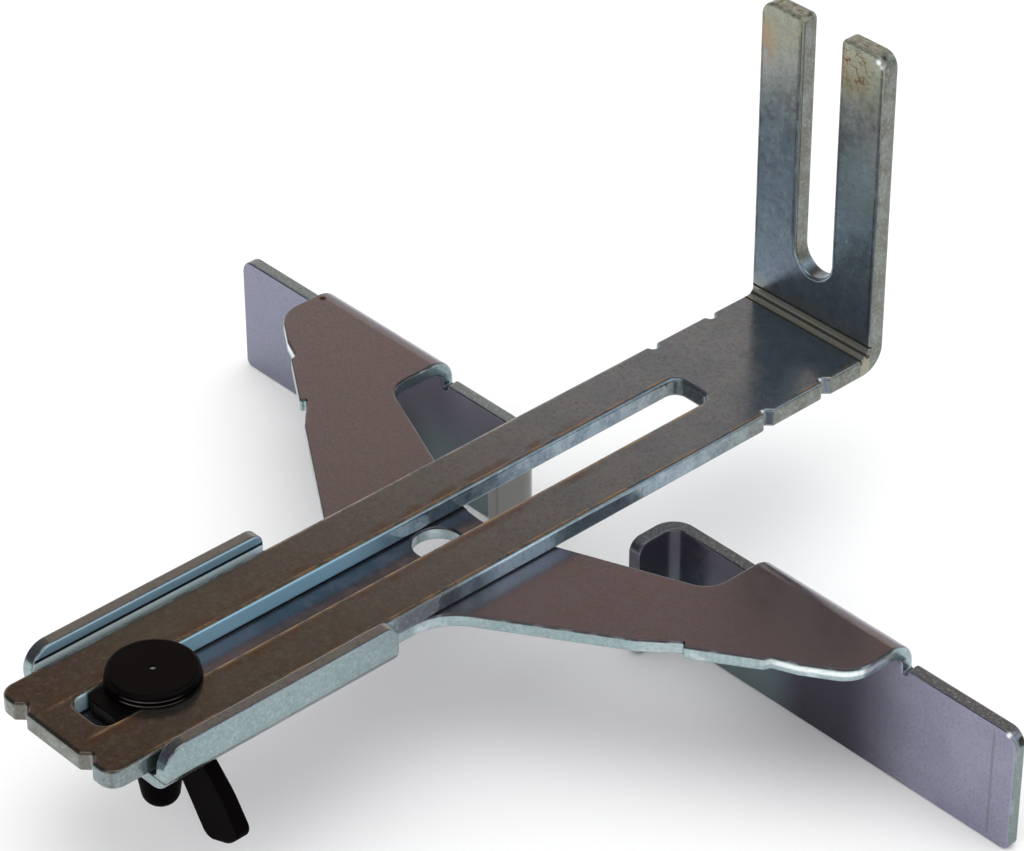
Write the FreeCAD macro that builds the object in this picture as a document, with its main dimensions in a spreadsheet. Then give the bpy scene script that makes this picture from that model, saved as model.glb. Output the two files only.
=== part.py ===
"""Dovetail jig side stop: a slotted L-shaped bar and a sheet-steel fence that slides along it.

Frame: +X along the fence, +Y along the bar towards its upright fork, +Z up. The origin is
on the surface that the fence stands on, below the centre of the whole piece. Millimetres.
"""

import FreeCAD, Part
import math
import os
import Sketcher

SHEET = "Sizes"
TOUCH = 1e-3
SHARP_ANGLE = 25.0

# The driving dimensions. Everything else is worked out from them in expressions.
DIMENSIONS = {
    # slotted bar with its upright fork
    "bar_width": 40.0,
    "bar_length": 237.0,
    "bar_thickness": 5.0,
    "fork_height": 87.5,
    "bar_bend_inner": 1.6,
    "bar_corner": 4.0,
    "slot_width": 12.0,
    "slot_front_gap": 9.0,
    "slot_length": 183.2,
    "slot_corner": 3.0,
    "fork_slot_bottom": 24.6,
    "prong_outer_corner": 4.0,
    "prong_inner_corner": 1.6,
    "notch_depth": 2.3,
    "side_notch_a": 197.1,
    "side_notch_b": 216.7,
    "front_notch": 11.5,
    "crease_depth": 0.45,
    "crease_offset": 2.6,
    "bar_edge": 0.9,
    # sheet-steel fence carriage
    "sheet": 3.5,
    "plate_height": 39.0,
    "slide_gap": 0.1,
    "flange_start": 10.7,
    "flange_length": 66.0,
    "flange_gap": 1.6,
    "flange_rise": 8.1,
    "flange_bend_inner": 1.6,
    "flange_front_corner": 6.0,
    "flange_rear_corner": 3.0,
    "neck_width": 38.0,
    "wing_front_angle": 33.6,
    "wing_front_start": 80.6,
    "wing_rear_angle": 22.2,
    "wing_rear_start": 121.5,
    "wing_outer": 98.2,
    "fold_inner": 54.9,
    "fold_radius": 6.4,
    "blade_back": 164.1,
    "blade_end": 132.0,
    "return_face": 22.6,
    "return_end": 149.0,
    "relief": 1.6,
    "sheet_edge": 0.6,
    "tab_depth": 1.4,
    "tab_start": 65.5,
    "tab_end": 80.8,
    "tab_end_run": 0.6,
    "ramp_inner": 8.5,
    "ramp_outer": 6.5,
    "spare_hole": 12.0,
    "spare_hole_at": 110.2,
    # clamp
    "clamp_at": 27.6,
    "head_diameter": 21.9,
    "head_height": 3.0,
    "head_top_diameter": 20.7,
    "head_edge": 0.9,
    "head_break": 0.3,
    "groove_height": 1.1,
    "groove_width": 0.5,
    "groove_depth": 0.8,
    "dimple_diameter": 1.6,
    "dimple_depth": 0.5,
    "key_width": 11.4,
    "key_front": 14.2,
    "key_rear": 8.4,
    "key_depth": 4.4,
    "key_sink": 0.6,
    "key_corner": 2.4,
    "bolt_diameter": 6.0,
    "bolt_flats": 10.0,
    "bolt_head_height": 4.0,
    "bolt_length": 28.4,
    "bolt_hole": 6.6,
    "washer_diameter": 18.0,
    "washer_bore": 6.4,
    "washer_thickness": 1.6,
    "hub_foot": 15.0,
    "hub_tip": 8.0,
    "hub_drop": 24.2,
    "hub_dome": 3.6,
    "hub_floor": 3.4,
    "vane_thickness": 3.8,
    "vane_edge": 1.0,
    "vane_top": 6.0,
    "vane_shoulder": 18.0,
    "vane_bulge": 24.7,
    "vane_bulge_drop": 12.6,
    "vane_reach": 30.1,
    "vane_corner": 20.5,
    "vane_heel": 25.6,
    "vane_heel_drop": 25.3,
    "vane_toe": 18.0,
    "vane_drop": 28.2,
    "vane_root": 9.3,
    "vane_root_drop": 15.0,
    "insert_diameter": 8.4,
    "insert_length": 9.0,
    "thread_gap": 0.05,
}

# Values that several pieces share, worked out from the driving dimensions.
DERIVED = {
    "bar_front": "-bar_length / 2",
    "bar_bottom": "plate_height + slide_gap",
    "bar_top": "plate_height + slide_gap + bar_thickness",
    "clamp_y": "-bar_length / 2 + clamp_at",
    "plate_bottom": "plate_height - sheet",
    "blade_y": "-bar_length / 2 + blade_back",
    "blade_top": "plate_height - fold_radius",
    "flange_outer": "bar_width / 2 + flange_gap + sheet",
    "front_slope": "tan(wing_front_angle)",
    "rear_slope": "tan(wing_rear_angle)",
    "front_line": "-bar_length / 2 + wing_front_start",
    "rear_line": "-bar_length / 2 + wing_rear_start",
    "tab_out": "tab_depth / cos(wing_front_angle)",
    "bolt_head_top": "plate_height + 2 * slide_gap + bar_thickness + 1.6",
    "washer_top": "plate_height - sheet - slide_gap",
    "nut_top": "plate_height - sheet - slide_gap - washer_thickness",
}


def main():
    doc = FreeCAD.newDocument("dovetail_jig_stop")
    sheet = make_sheet(doc)
    makers = (
        slide_bar,
        fence_carriage,
        clamp_head,
        clamp_bolt,
        clamp_washer,
        wing_nut,
        nut_insert,
    )
    parts = []
    for maker in makers:
        piece = maker(doc, sheet)
        piece.Label = maker.__name__
        parts.append(piece)
    doc.recompute()
    check(doc, parts)
    write(parts)


# ---------------------------------------------------------------- the sheet


def make_sheet(doc):
    sheet = doc.addObject("Spreadsheet::Sheet", SHEET)
    names = list(DIMENSIONS) + list(DERIVED)
    for row, name in enumerate(names, start=1):
        sheet.set(f"A{row}", name)
        if name in DIMENSIONS:
            sheet.set(f"B{row}", str(DIMENSIONS[name]))
        else:
            sheet.set(f"B{row}", "=" + DERIVED[name])
        sheet.setAlias(f"B{row}", name)
        if row % 10 == 0:
            doc.recompute()
    doc.recompute()
    return sheet


def bind(text):
    """Turns an expression in the sheet's own names into one for any other object."""
    out, word = "", ""
    for mark in text + " ":
        if mark.isalnum() or mark == "_":
            word += mark
            continue
        known = word in DIMENSIONS or word in DERIVED
        out += (f"{SHEET}.{word}" if known else word) + mark
        word = ""
    return out.strip()


def size(sheet, text):
    """The number that an expression has now."""
    value = sheet.evalExpression(bind(text))
    return float(getattr(value, "Value", value))


# ------------------------------------------------------- sketches and features


def plane(body, role):
    return next(f for f in body.Origin.OriginFeatures if f.Role == role)


def new_sketch(body, name, role, offset=None):
    sketch = body.newObject("Sketcher::SketchObject", name)
    sketch.AttachmentSupport = (plane(body, role), [""])
    sketch.MapMode = "FlatFace"
    if offset is not None:
        sketch.setExpression("AttachmentOffset.Base.z", bind(offset))
    return sketch


def place(sketch, where, index, point, at):
    """Holds one point of a sketch at two expressions, measured from the sketch's origin."""
    for kind, text in (("DistanceX", at[0]), ("DistanceY", at[1])):
        value = size(where, text)
        number = sketch.addConstraint(Sketcher.Constraint(kind, -1, 1, index, point, value))
        sketch.setExpression(f"Constraints[{number}]", bind(text))


def outline(sketch, sheet, corners):
    """A closed loop of straight lines through the given corners."""
    points = [FreeCAD.Vector(size(sheet, x), size(sheet, y), 0) for x, y in corners]
    first = sketch.GeometryCount
    count = len(points)
    for i in range(count):
        sketch.addGeometry(Part.LineSegment(points[i], points[(i + 1) % count]), False)
    for i in range(count):
        follower = first + (i + 1) % count
        sketch.addConstraint(Sketcher.Constraint("Coincident", first + i, 2, follower, 1))
    for i in range(count):
        place(sketch, sheet, first + i, 1, corners[i])
    return sketch


def circle(sketch, sheet, at, diameter):
    centre = FreeCAD.Vector(size(sheet, at[0]), size(sheet, at[1]), 0)
    normal = FreeCAD.Vector(0, 0, 1)
    index = sketch.addGeometry(Part.Circle(centre, normal, size(sheet, diameter) / 2), False)
    place(sketch, sheet, index, 3, at)
    value = size(sheet, diameter)
    number = sketch.addConstraint(Sketcher.Constraint("Diameter", index, value))
    sketch.setExpression(f"Constraints[{number}]", bind(diameter))
    return sketch


def pad(body, sketch, length, middle=False, reverse=False):
    feature = body.newObject("PartDesign::Pad", sketch.Name + "_pad")
    feature.Profile = sketch
    feature.setExpression("Length", bind(length))
    feature.Midplane = middle
    feature.Reversed = reverse
    body.Document.recompute()
    return feature


def pocket(body, sketch, length=None, middle=False, reverse=False):
    before = body.Shape.Volume
    feature = body.newObject("PartDesign::Pocket", sketch.Name + "_pocket")
    feature.Profile = sketch
    if length is None:
        feature.Type = "ThroughAll"
    else:
        feature.setExpression("Length", bind(length))
    feature.Midplane = middle
    feature.Reversed = reverse
    body.Document.recompute()
    if body.Shape.Volume > before - TOUCH:
        raise RuntimeError(f"{feature.Name} cuts nothing")
    return feature


def revolve(body, sketch):
    """A full turn about the vertical line through the sketch's origin."""
    feature = body.newObject("PartDesign::Revolution", sketch.Name + "_turn")
    feature.Profile = sketch
    feature.ReferenceAxis = (sketch, ["V_Axis"])
    feature.Angle = 360
    body.Document.recompute()
    return feature


def edges(shape, test):
    """The names of the edges for which test(edge, middle) holds."""
    names = []
    for number, edge in enumerate(shape.Edges, start=1):
        middle = edge.valueAt((edge.FirstParameter + edge.LastParameter) / 2)
        if test(edge, middle):
            names.append(f"Edge{number}")
    return names


def soften(body, kind, name, radius, test):
    """A fillet or chamfer on the body's edges that pass the test."""
    base = body.Tip
    chosen = edges(base.Shape, test)
    if not chosen:
        raise RuntimeError(f"{name} finds no edge")
    feature = body.newObject("PartDesign::" + kind, name)
    feature.Base = (base, chosen)
    feature.setExpression("Radius" if kind == "Fillet" else "Size", bind(radius))
    body.Document.recompute()
    if "Invalid" in feature.State or not feature.Shape.isValid():
        raise RuntimeError(f"{name} failed on {len(chosen)} edges")
    return feature


def fillet(body, name, radius, test):
    return soften(body, "Fillet", name, radius, test)


def chamfer(body, name, length, test):
    return soften(body, "Chamfer", name, length, test)


def along(edge, axis):
    """True if a straight edge runs along axis 0, 1 or 2."""
    if edge.Curve.TypeId != "Part::GeomLine":
        return False
    return abs(abs(edge.tangentAt(edge.FirstParameter)[axis]) - 1) < TOUCH


def sharp(shape, keep=None):
    """A test for edges where two faces meet at a clear angle."""

    def test(edge, mid):
        faces = shape.ancestorsOfType(edge, Part.Face)
        if len(faces) != 2 or (keep is not None and not keep(edge, mid)):
            return False
        normals = [face.normalAt(*face.Surface.parameter(mid)) for face in faces]
        return math.degrees(normals[0].getAngle(normals[1])) > SHARP_ANGLE

    return test


def break_edges(body, name, radius, keep=None):
    """Rounds every sharp edge, as punching, tumbling or moulding leaves it."""
    fillet(body, name, radius, sharp(body.Tip.Shape, keep))


def near(value, target, room=0.02):
    return abs(value - target) < room


# ------------------------------------------------------------------ the bar


def slide_bar(doc, sheet):
    """A flat bar bent up at its rear end into a fork, with a long slot to slide the clamp in."""
    body = doc.addObject("PartDesign::Body", "SlideBar")
    rear = "bar_length / 2"
    front_face = "bar_length / 2 - bar_thickness"
    top = "bar_bottom + fork_height"
    profile = new_sketch(body, "BarProfile", "YZ_Plane")
    corners = (
        ("bar_front", "bar_bottom"),
        (rear, "bar_bottom"),
        (rear, top),
        (front_face, top),
        (front_face, "bar_top"),
        ("bar_front", "bar_top"),
    )
    outline(profile, sheet, corners)
    pad(body, profile, "bar_width", middle=True)
    bend_edges(body, sheet)
    slot_in_bar(body, sheet)
    fork_slot(body, sheet)
    notches(body, sheet)
    bar_corners(body, sheet)
    break_edges(body, "BarEdges", "bar_edge")
    creases(body, sheet)
    return body


def bend_edges(body, sheet):
    y_rear = size(sheet, "bar_length / 2")
    y_face = size(sheet, "bar_length / 2 - bar_thickness")
    z_low = size(sheet, "bar_bottom")
    z_top = size(sheet, "bar_top")

    def outer(edge, mid):
        return along(edge, 0) and near(mid.y, y_rear) and near(mid.z, z_low)

    def inner(edge, mid):
        return along(edge, 0) and near(mid.y, y_face) and near(mid.z, z_top)

    fillet(body, "BarBendOuter", "bar_bend_inner + bar_thickness", outer)
    fillet(body, "BarBendInner", "bar_bend_inner", inner)


def slot_in_bar(body, sheet):
    start = "bar_front + slot_front_gap"
    end = "bar_front + slot_front_gap + slot_length"
    sketch = new_sketch(body, "BarSlot", "XY_Plane")
    outline(sketch, sheet, rectangle("-slot_width / 2", start, "slot_width / 2", end))
    pocket(body, sketch, "bar_top * 2", middle=True)
    half = size(sheet, "slot_width / 2")
    ends = (size(sheet, start), size(sheet, end))

    def corner(edge, mid):
        at_end = any(near(mid.y, y) for y in ends)
        return along(edge, 2) and near(abs(mid.x), half) and at_end

    fillet(body, "BarSlotCorners", "slot_corner", corner)


def fork_slot(body, sheet):
    """The fork's slot: open at the top and round at the bottom."""
    centre = "bar_bottom + fork_slot_bottom"
    sketch = new_sketch(body, "ForkSlot", "XZ_Plane")
    beyond = "bar_bottom + fork_height + 5"
    outline(sketch, sheet, rectangle("-slot_width / 2", centre, "slot_width / 2", beyond))
    pocket(body, sketch)
    sketch = new_sketch(body, "ForkSlotEnd", "XZ_Plane")
    circle(sketch, sheet, ("0", centre), "slot_width")
    pocket(body, sketch)


def rectangle(x0, y0, x1, y1):
    return ((x0, y0), (x1, y0), (x1, y1), (x0, y1))


def notches(body, sheet):
    """Setting-out notches: V cuts in both long edges near the fork and in the front edge."""
    sketch = new_sketch(body, "Notches", "XY_Plane")
    for at in ("side_notch_a", "side_notch_b"):
        y = f"bar_front + {at}"
        for sign in ("", "-"):
            edge = f"{sign}(bar_width / 2 + 1)"
            tip = f"{sign}(bar_width / 2 - notch_depth)"
            mouth = "notch_depth + 1"
            outline(sketch, sheet, ((edge, f"{y} - {mouth}"), (edge, f"{y} + {mouth}"), (tip, y)))
    for sign in ("", "-"):
        x = f"{sign}front_notch"
        mouth = "(notch_depth + 1)"
        edge = "bar_front - 1"
        tip = "bar_front + notch_depth"
        outline(sketch, sheet, ((f"{x} - {mouth}", edge), (f"{x} + {mouth}", edge), (x, tip)))
    pocket(body, sketch, "bar_top * 2", middle=True)


def creases(body, sheet):
    """Two fine grooves that the folding blade leaves along the inside of the bend."""
    sketch = new_sketch(body, "Creases", "YZ_Plane")
    face = "bar_length / 2 - bar_thickness"
    flat = (
        (f"{face} - crease_offset - crease_depth", "bar_top + 0.2"),
        (f"{face} - crease_offset + crease_depth", "bar_top + 0.2"),
        (f"{face} - crease_offset", "bar_top - crease_depth"),
    )
    upright = (
        (f"{face} - 0.2", "bar_top + crease_offset - crease_depth"),
        (f"{face} - 0.2", "bar_top + crease_offset + crease_depth"),
        (f"{face} + crease_depth", "bar_top + crease_offset"),
    )
    outline(sketch, sheet, flat)
    outline(sketch, sheet, upright)
    pocket(body, sketch, "bar_width + 2", middle=True)


def bar_corners(body, sheet):
    half = size(sheet, "bar_width / 2")
    slot = size(sheet, "slot_width / 2")
    front = size(sheet, "bar_front")
    top = size(sheet, "bar_bottom + fork_height")

    def front_corner(edge, mid):
        return along(edge, 2) and near(abs(mid.x), half) and near(mid.y, front)

    def prong_outer(edge, mid):
        return along(edge, 1) and near(abs(mid.x), half) and near(mid.z, top)

    def prong_inner(edge, mid):
        return along(edge, 1) and near(abs(mid.x), slot) and near(mid.z, top)

    fillet(body, "FrontCorners", "bar_corner", front_corner)
    fillet(body, "ProngOuterCorners", "prong_outer_corner", prong_outer)
    fillet(body, "ProngInnerCorners", "prong_inner_corner", prong_inner)


# ------------------------------------------------------- the fence carriage


def fence_carriage(doc, sheet):
    """One folded sheet: guide flanges, a plate under the bar, two wings and two fence blades."""
    body = doc.addObject("PartDesign::Body", "FenceCarriage")
    guide_channel(body, sheet)
    plate_and_wings(body, sheet)
    for sign in ("", "-"):
        fold_and_blade(body, sheet, sign)
    carriage_holes(body, sheet)
    carriage_corners(body, sheet)
    break_edges(body, "SheetEdges", "sheet_edge")
    return body


def guide_channel(body, sheet):
    """The plate's front part with its two upturned flanges, beside the bar's edges."""
    inner = "bar_width / 2 + flange_gap"
    top = "plate_height + flange_rise"
    sketch = new_sketch(body, "GuideChannel", "XZ_Plane", "-(bar_front + flange_start)")
    corners = (
        ("-flange_outer", "plate_bottom"),
        ("flange_outer", "plate_bottom"),
        ("flange_outer", top),
        (inner, top),
        (inner, "plate_height"),
        (f"-({inner})", "plate_height"),
        (f"-({inner})", top),
        ("-flange_outer", top),
    )
    outline(sketch, sheet, corners)
    pad(body, sketch, "flange_length", reverse=True)
    half = size(sheet, "flange_outer")
    inside = size(sheet, inner)
    z_low = size(sheet, "plate_bottom")
    z_top = size(sheet, "plate_height")
    rise = size(sheet, top)
    front = size(sheet, "bar_front + flange_start")
    rear = size(sheet, "bar_front + flange_start + flange_length")

    def outer(edge, mid):
        return along(edge, 1) and near(abs(mid.x), half) and near(mid.z, z_low)

    def inner_bend(edge, mid):
        return along(edge, 1) and near(abs(mid.x), inside) and near(mid.z, z_top)

    def front_top(edge, mid):
        return along(edge, 0) and near(mid.z, rise) and near(mid.y, front)

    def rear_top(edge, mid):
        return along(edge, 0) and near(mid.z, rise) and near(mid.y, rear)

    fillet(body, "FlangeBendOuter", "flange_bend_inner + sheet", outer)
    fillet(body, "FlangeBendInner", "flange_bend_inner", inner_bend)
    fillet(body, "FlangeFrontCorners", "flange_front_corner", front_top)
    fillet(body, "FlangeRearCorners", "flange_rear_corner", rear_top)


def wing_outline(sign):
    """Half of the flat plan, from the neck round the wing to the middle of its rear edge."""
    line = "front_line + front_slope * "
    rear = "rear_line + rear_slope * "
    fold_start = "blade_y - fold_radius"
    points = [
        ("neck_width / 2", "bar_front + flange_start + flange_length - 4"),
        ("neck_width / 2", line + "neck_width / 2"),
        ("tab_start - ramp_inner", line + "(tab_start - ramp_inner)"),
        ("tab_start - tab_end_run", line + "tab_start + tab_out"),
        ("tab_start", line + "tab_start"),
        ("tab_end", line + "tab_end"),
        ("tab_end + tab_end_run", line + "tab_end + tab_out"),
        ("tab_end + ramp_outer", line + "(tab_end + ramp_outer)"),
        ("wing_outer", line + "wing_outer"),
        ("wing_outer", fold_start + " + 0.5"),
        ("fold_inner", fold_start + " + 0.5"),
        ("fold_inner", rear + "fold_inner"),
    ]
    if sign:
        points = [(f"-({x})", y) for x, y in reversed(points)]
    return points


def plate_and_wings(body, sheet):
    sketch = new_sketch(body, "PlateAndWings", "XY_Plane", "plate_height")
    middle = [("0", "rear_line")]
    outline(sketch, sheet, wing_outline("") + middle + wing_outline("-"))
    pad(body, sketch, "sheet", reverse=True)
    neck = size(sheet, "neck_width / 2")
    shoulder = size(sheet, "front_line + front_slope * neck_width / 2")
    outer = size(sheet, "wing_outer")
    outer_y = size(sheet, "front_line + front_slope * wing_outer")
    inner = size(sheet, "fold_inner")
    inner_y = size(sheet, "rear_line + rear_slope * fold_inner")
    rear = size(sheet, "rear_line")

    def at(x, y):
        return lambda edge, mid: along(edge, 2) and near(abs(mid.x), x) and near(mid.y, y)

    fillet(body, "WingRoots", "14", at(neck, shoulder))
    fillet(body, "WingTips", "9", at(outer, outer_y))
    fillet(body, "WingRearCorners", "7", at(inner, inner_y))
    fillet(body, "PlateRear", "26", at(0, rear))


def fold_and_blade(body, sheet, sign):
    """One side's fold, its blade and the short return at the blade's inner end."""
    side = "Left" if sign else "Right"
    drop = "blade_top - 6"
    face = "blade_y - sheet"
    sketch = new_sketch(body, side + "Fold", "YZ_Plane", f"{sign}(fold_inner + wing_outer) / 2")
    corners = (
        ("blade_y - fold_radius", "plate_bottom"),
        (face, "plate_bottom"),
        (face, drop),
        ("blade_y", drop),
        ("blade_y", "plate_height"),
        ("blade_y - fold_radius", "plate_height"),
    )
    outline(sketch, sheet, corners)
    pad(body, sketch, "wing_outer - fold_inner", middle=True)
    x_low = size(sheet, "fold_inner")
    x_high = size(sheet, "wing_outer")
    y_back = size(sheet, "blade_y")
    y_face = size(sheet, face)
    z_plate = size(sheet, "plate_height")
    z_under = size(sheet, "plate_bottom")
    way = -1 if sign else 1

    def on_fold(mid):
        return x_low - TOUCH < way * mid.x < x_high + TOUCH

    def outer_bend(edge, mid):
        return along(edge, 0) and on_fold(mid) and near(mid.y, y_back) and near(mid.z, z_plate)

    def inner_bend(edge, mid):
        return along(edge, 0) and on_fold(mid) and near(mid.y, y_face) and near(mid.z, z_under)

    fillet(body, side + "FoldOuter", "fold_radius", outer_bend)
    fillet(body, side + "FoldInner", "fold_radius - sheet", inner_bend)
    sketch = new_sketch(body, side + "Blade", "XZ_Plane", "-blade_y")
    blade = rectangle(f"{sign}(return_face)", "0", f"{sign}(blade_end)", "blade_top")
    outline(sketch, sheet, blade if not sign else blade[::-1])
    pad(body, sketch, "sheet")
    sketch = new_sketch(body, side + "Return", "XY_Plane")
    low = f"{sign}(return_face)"
    high = f"{sign}(return_face + sheet)"
    strip = rectangle(low, "bar_front + return_end", high, "blade_y")
    outline(sketch, sheet, strip if not sign else strip[::-1])
    pad(body, sketch, "blade_top")
    x_face = size(sheet, "return_face")
    x_inside = size(sheet, "return_face + sheet")

    def upright(x, y):
        def test(edge, mid):
            return along(edge, 2) and near(way * mid.x, x) and near(mid.y, y)

        return test

    fillet(body, side + "ReturnOuter", "fold_radius", upright(x_face, y_back))
    fillet(body, side + "ReturnInner", "fold_radius - sheet", upright(x_inside, y_face))
    reliefs(body, sheet, side, sign)


def reliefs(body, sheet, side, sign):
    """Small cuts beside both ends of the fold, so that the sheet doesn't tear there."""
    sketch = new_sketch(body, side + "Reliefs", "XZ_Plane")
    low = "blade_top - relief"
    high = "blade_top + 0.5"
    for start, end in (
        ("fold_inner - relief", "fold_inner"),
        ("wing_outer", "wing_outer + relief"),
    ):
        cut = rectangle(f"{sign}({start})", low, f"{sign}({end})", high)
        outline(sketch, sheet, cut if not sign else cut[::-1])
    pocket(body, sketch)


def carriage_holes(body, sheet):
    sketch = new_sketch(body, "CarriageHoles", "XY_Plane")
    circle(sketch, sheet, ("0", "clamp_y"), "bolt_hole")
    circle(sketch, sheet, ("0", "bar_front + spare_hole_at"), "spare_hole")
    pocket(body, sketch, "plate_height * 2 + 2", middle=True)


def carriage_corners(body, sheet):
    end = size(sheet, "blade_end")
    top = size(sheet, "blade_top")
    tip = size(sheet, "bar_front + return_end")

    def blade_top(edge, mid):
        return along(edge, 1) and near(abs(mid.x), end) and near(mid.z, top)

    def blade_foot(edge, mid):
        return along(edge, 1) and near(abs(mid.x), end) and near(mid.z, 0)

    def return_end(edge, mid):
        at_level = near(mid.z, 0) or near(mid.z, top)
        return along(edge, 0) and near(mid.y, tip) and at_level

    fillet(body, "BladeTopCorners", "4", blade_top)
    fillet(body, "BladeFootCorners", "2", blade_foot)
    fillet(body, "ReturnEndCorners", "3.5", return_end)


# --------------------------------------------------------------- the clamp


def clamp_head(doc, sheet):
    """A plastic disc that bears on the bar, with a key under it that rides in the slot."""
    body = doc.addObject("PartDesign::Body", "ClampHead")
    underside = "bar_top + slide_gap"
    sketch = new_sketch(body, "HeadDisc", "XZ_Plane", "-clamp_y")
    section = (
        ("0", underside),
        ("head_diameter / 2", underside),
        ("head_top_diameter / 2", underside + " + head_height"),
        ("0", underside + " + head_height"),
    )
    outline(sketch, sheet, section)
    revolve(body, sketch)
    half = "key_width / 2"
    rear = "clamp_y + key_rear"
    sketch = new_sketch(body, "HeadCore", "XY_Plane", underside)
    outline(sketch, sheet, rectangle(f"-{half}", "clamp_y - key_rear", half, rear))
    pad(body, sketch, "key_depth + slide_gap", reverse=True)
    front = "clamp_y - key_front"
    sketch = new_sketch(body, "HeadKey", "XY_Plane", "bar_top - key_sink")
    outline(sketch, sheet, rectangle(f"-{half}", front, half, rear))
    pad(body, sketch, "key_depth - key_sink", reverse=True)
    y_front = size(sheet, front)
    z_top = size(sheet, "bar_top + slide_gap + head_height")

    def key_front(edge, mid):
        return along(edge, 2) and near(mid.y, y_front)

    def rim(edge, mid):
        return edge.Curve.TypeId == "Part::GeomCircle" and near(mid.z, z_top)

    fillet(body, "KeyFront", "key_corner", key_front)
    fillet(body, "HeadRim", "head_edge", rim)
    break_edges(body, "HeadEdges", "head_break")
    head_recesses(body, sheet)
    return body


def head_recesses(body, sheet):
    """The groove round the disc, the dimple in its top and the room for the moulded-in bolt."""
    sketch = new_sketch(body, "HeadGroove", "XY_Plane", "bar_top + slide_gap + groove_height")
    circle(sketch, sheet, ("0", "clamp_y"), "head_diameter + 2")
    circle(sketch, sheet, ("0", "clamp_y"), "head_diameter - 2 * groove_depth")
    pocket(body, sketch, "groove_width", middle=True)
    sketch = new_sketch(body, "HeadDimple", "XY_Plane", "bar_top + slide_gap + head_height")
    circle(sketch, sheet, ("0", "clamp_y"), "dimple_diameter")
    pocket(body, sketch, "dimple_depth")
    sketch = new_sketch(body, "BoltHeadRoom", "XY_Plane", "bolt_head_top")
    outline(sketch, sheet, hexagon())
    pocket(body, sketch, "bolt_head_height")
    sketch = new_sketch(body, "BoltShankRoom", "XY_Plane", "bolt_head_top")
    circle(sketch, sheet, ("0", "clamp_y"), "bolt_diameter")
    pocket(body, sketch, "bolt_head_height + bar_thickness")


def hexagon():
    """The bolt head's corners, with two of its flats along the slot."""
    flat = "bolt_flats / 2"
    side = "bolt_flats / 2 * tan(30)"
    corner = "bolt_flats / 2 / cos(30)"
    return (
        (flat, f"clamp_y - {side}"),
        (flat, f"clamp_y + {side}"),
        ("0", f"clamp_y + {corner}"),
        (f"-{flat}", f"clamp_y + {side}"),
        (f"-{flat}", f"clamp_y - {side}"),
        ("0", f"clamp_y - {corner}"),
    )


def clamp_bolt(doc, sheet):
    """A hexagon bolt, its head buried in the disc and its shank down through plate and nut."""
    body = doc.addObject("PartDesign::Body", "ClampBolt")
    sketch = new_sketch(body, "BoltHead", "XY_Plane", "bolt_head_top")
    outline(sketch, sheet, hexagon())
    pad(body, sketch, "bolt_head_height", reverse=True)
    sketch = new_sketch(body, "BoltShank", "XY_Plane", "bolt_head_top - bolt_head_height")
    circle(sketch, sheet, ("0", "clamp_y"), "bolt_diameter")
    pad(body, sketch, "bolt_length", reverse=True)
    tip = size(sheet, "bolt_head_top - bolt_head_height - bolt_length")

    def end(edge, mid):
        return near(mid.z, tip)

    chamfer(body, "BoltPoint", "0.6", end)
    return body


def clamp_washer(doc, sheet):
    """A flat steel washer between the plate and the nut."""
    body = doc.addObject("PartDesign::Body", "ClampWasher")
    sketch = new_sketch(body, "WasherRing", "XY_Plane", "washer_top")
    circle(sketch, sheet, ("0", "clamp_y"), "washer_diameter")
    circle(sketch, sheet, ("0", "clamp_y"), "washer_bore")
    pad(body, sketch, "washer_thickness", reverse=True)
    return body


def wing_nut(doc, sheet):
    """A plastic wing nut: a tapered hub with a domed end between two drooping wings."""
    body = doc.addObject("PartDesign::Body", "WingNut")
    for sign in ("", "-"):
        nut_wing(body, sheet, sign)
    break_edges(body, "VaneEdges", "vane_edge")
    sketch = new_sketch(body, "Hub", "XZ_Plane", "-clamp_y")
    section = (
        ("0", "nut_top - hub_drop"),
        ("hub_tip / 2", "nut_top - hub_drop"),
        ("hub_foot / 2", "nut_top"),
        ("0", "nut_top"),
    )
    outline(sketch, sheet, section)
    revolve(body, sketch)
    z_end = size(sheet, "nut_top - hub_drop")

    def dome(edge, mid):
        return edge.Curve.TypeId == "Part::GeomCircle" and near(mid.z, z_end)

    fillet(body, "HubDome", "hub_dome", dome)
    z_foot = size(sheet, "nut_top")

    def foot(edge, mid):
        return edge.Curve.TypeId == "Part::GeomCircle" and near(mid.z, z_foot)

    fillet(body, "HubFoot", "head_break", foot)
    sketch = new_sketch(body, "InsertRoom", "XY_Plane", "nut_top")
    circle(sketch, sheet, ("0", "clamp_y"), "insert_diameter")
    pocket(body, sketch, "insert_length")
    sketch = new_sketch(body, "BoltRoom", "XY_Plane", "nut_top")
    circle(sketch, sheet, ("0", "clamp_y"), "bolt_hole")
    pocket(body, sketch, "hub_drop - hub_floor")
    return body


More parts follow.
